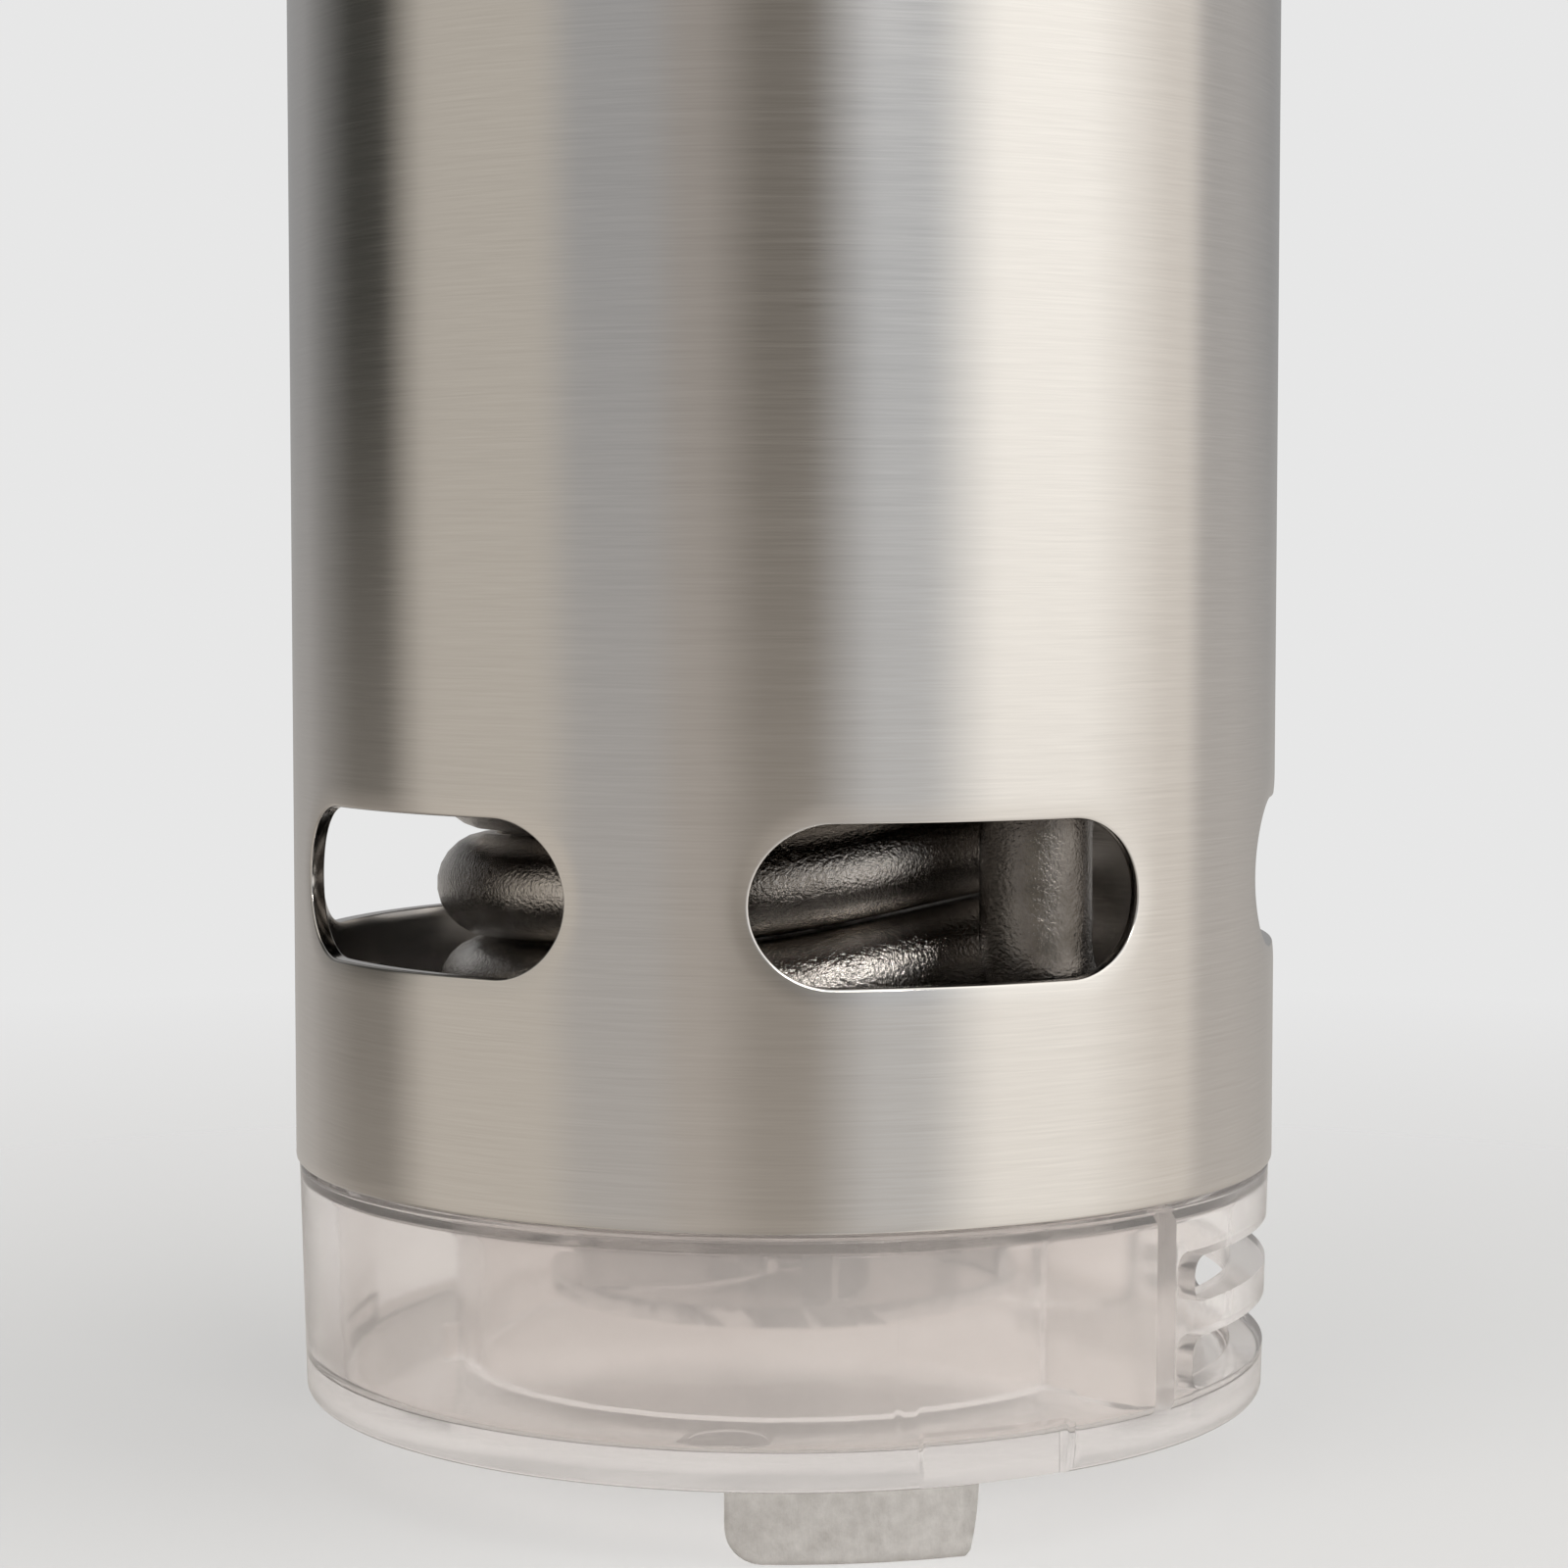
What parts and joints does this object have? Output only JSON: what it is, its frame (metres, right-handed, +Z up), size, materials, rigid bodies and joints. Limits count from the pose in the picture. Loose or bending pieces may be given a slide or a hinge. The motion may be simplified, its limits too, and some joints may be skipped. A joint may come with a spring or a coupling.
{
  "type": "sous vide circulator",
  "caption": "Stick immersion circulator with a slotted steel skirt tube, coiled heater, clear twist-off pump cap on feet, sloped control head and screw clamp for a pot wall.",
  "frame": {"origin": "on the skirt tube's axis, in the plane of the feet's lower faces", "axes": "+Z up along the tube, -Y towards the control face's low front edge, +X towards the pump outlet, +Y towards the pot clamp"},
  "size_m": [0.096, 0.1327, 0.3185],
  "materials": {
    "steel_tube": "fine circumferential brushing",
    "heater_sheath": "dark oxidised steel with a slight orange peel",
    "clear_plastic": "clear moulded plastic with a faint warm grey tint",
    "frosted_plastic": "frosted translucent plastic",
    "impeller_plastic": "milky clear moulded plastic",
    "steel": "plain stainless steel",
    "dark_housing": "fine moulded texture",
    "bezel_plastic": "polished black",
    "lens_plastic": "smoked clear plastic",
    "button_metal": "fine spun aluminium",
    "wheel_rubber": "ribbed soft rubber",
    "seal_rubber": "smooth black rubber",
    "silicone": "red silicone",
    "bearing_plastic": "filled bearing plastic",
    "ceramic": "white ceramic",
    "brass": "turned brass",
    "zinc": "bright zinc plate",
    "rotor_iron": "laminated iron",
    "circuit_board": "green solder mask",
    "component_plastic": "black component case",
    "transformer_core": "lacquered core and winding",
    "aluminium": "extruded aluminium",
    "lcd": "display glass and frame",
    "clamp_plastic": "glass-filled black plastic",
    "sleeve_plastic": "smooth grey plastic",
    "pad_rubber": "matt ribbed rubber"
  },
  "bodies": {
    "circulator": {"shaft_bush": "bearing_plastic", "shaft_guard": "steel", "pump_plate": "steel", "skirt_tube": "steel_tube", "heater_element": "heater_sheath", "heater_terminals": "ceramic", "bulkhead": "steel", "bulkhead_gasket": "silicone", "shaft_seal": "seal_rubber", "temperature_probe": "steel", "level_sensor": "steel", "thermal_cutout": "component_plastic", "motor_can": "zinc", "motor_bearings": "steel", "motor_mount": "zinc", "motor_screws": "zinc", "lower_housing": "dark_housing", "upper_housing": "dark_housing", "housing_seal": "seal_rubber", "housing_screws": "zinc", "control_bezel": "bezel_plastic", "display_lens": "lens_plastic", "display_module": "lcd", "control_board": "circuit_board", "tact_switches": "component_plastic", "wheel_axle": "steel", "wheel_encoder": "component_plastic", "power_board": "circuit_board", "transformer": "transformer_core", "filter_capacitor": "component_plastic", "relay": "component_plastic", "heat_sink": "aluminium", "buzzer": "component_plastic", "cord_gland": "seal_rubber"},
    "cap_seal": {"cap_seal": "seal_rubber"},
    "pump_cap": {"pump_cap": "clear_plastic", "foot_front": "frosted_plastic", "foot_rear_right": "frosted_plastic", "foot_rear_left": "frosted_plastic"},
    "rotor": {"impeller": "impeller_plastic", "pump_shaft": "steel", "shaft_coupling": "brass", "motor_rotor": "rotor_iron", "cooling_fan": "bearing_plastic"},
    "start_button": {"start_button": "button_metal"},
    "timer_button": {"timer_button": "button_metal"},
    "scroll_wheel": {"scroll_wheel": "wheel_rubber"},
    "clamp_sleeve": {"clamp_sleeve": "sleeve_plastic"},
    "clamp_bracket": {"clamp_bracket": "clamp_plastic", "thread_insert": "brass", "jaw_pad": "pad_rubber"},
    "swivel_pad": {"swivel_pad": "pad_rubber"},
    "clamp_screw": {"clamp_screw": "steel", "clamp_knob": "clamp_plastic"},
    "lock_screw": {"lock_screw": "clamp_plastic"}
  },
  "joints": [
    {"name": "rotor_spin", "type": "hinge", "parent": "circulator", "child": "rotor", "pos_m": [0, 0, 0.1], "axis": [0, 0, 1], "continuous": true},
    {"name": "cap_pull", "type": "slide", "parent": "circulator", "child": "cap_seal", "axis": [0, 0, -1], "range_m": [0, 0.03]},
    {"name": "cap_turn", "type": "hinge", "parent": "cap_seal", "child": "pump_cap", "pos_m": [0, 0, 0.018], "axis": [0, 0, 1], "continuous": true},
    {"name": "start_press", "type": "slide", "parent": "circulator", "child": "start_button", "axis": [0, 0.4695, -0.8829], "range_m": [0, 0.0007], "stiffness_N_per_m": 1500, "springref_m": -0.0003},
    {"name": "timer_press", "type": "slide", "parent": "circulator", "child": "timer_button", "axis": [0, 0.4695, -0.8829], "range_m": [0, 0.0007], "stiffness_N_per_m": 1500, "springref_m": -0.0003},
    {"name": "wheel_turn", "type": "hinge", "parent": "circulator", "child": "scroll_wheel", "pos_m": [0, -0.0322, 0.256], "axis": [0, 0, 1], "continuous": true},
    {"name": "clamp_height", "type": "slide", "parent": "circulator", "child": "clamp_sleeve", "axis": [0, 0, -1], "range_m": [0, 0.06]},
    {"name": "clamp_swivel", "type": "hinge", "parent": "clamp_sleeve", "child": "clamp_bracket", "pos_m": [0, 0, 0.16], "axis": [0, 0, 1], "continuous": true},
    {"name": "jaw_close", "type": "slide", "parent": "clamp_bracket", "child": "swivel_pad", "axis": [0, -1, 0], "range_m": [0, 0.0135]},
    {"name": "screw_turn", "type": "hinge", "parent": "swivel_pad", "child": "clamp_screw", "pos_m": [0, 0.08, 0.124], "axis": [0, -1, 0], "range_deg": [0, 3240]},
    {"name": "lock_turn", "type": "hinge", "parent": "clamp_bracket", "child": "lock_screw", "pos_m": [-0.05, 0, 0.16], "axis": [-1, 0, 0], "range_deg": [0, 540]}
  ],
  "couplings": [
    {"joint": "screw_turn", "follows": "jaw_close", "rad_per_m": 4188.8}
  ]
}
